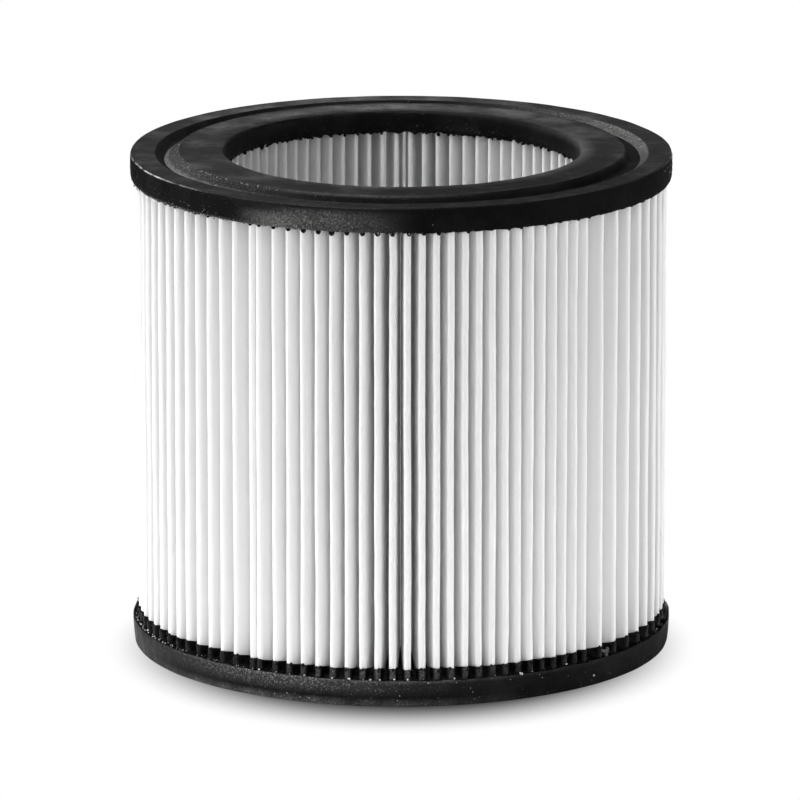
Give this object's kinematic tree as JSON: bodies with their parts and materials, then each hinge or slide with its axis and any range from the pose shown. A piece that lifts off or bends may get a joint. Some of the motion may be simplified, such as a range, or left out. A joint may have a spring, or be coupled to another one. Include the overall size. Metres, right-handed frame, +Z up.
{
  "type": "pleated filter cartridge",
  "caption": "Open-ended round filter cartridge: a pleated white fleece tube cast into a soft black sealing ring at each end, which cleans air drawn in towards its bore.",
  "frame": {"origin": "on the axis, in the plane that the lower cap stands on", "axes": "+Z up the axis, from the lower cap to the sealing face; -Y towards the front, from which the seam lies about 33 degrees to the left; +X to the right"},
  "size_m": [0.187, 0.187, 0.174],
  "materials": {
    "end_cap_rubber": "soft cast polyurethane, matt black with fine pores and pale specks",
    "filter_fleece": "matt white spunbonded fleece, stiff enough to hold a fold",
    "seam_adhesive": "dull off-white hot-melt film"
  },
  "bodies": {
    "root": {"upper_end_cap": "end_cap_rubber", "lower_end_cap": "end_cap_rubber", "pleated_media": "filter_fleece", "seam_adhesive": "seam_adhesive"}
  },
  "joints": []
}
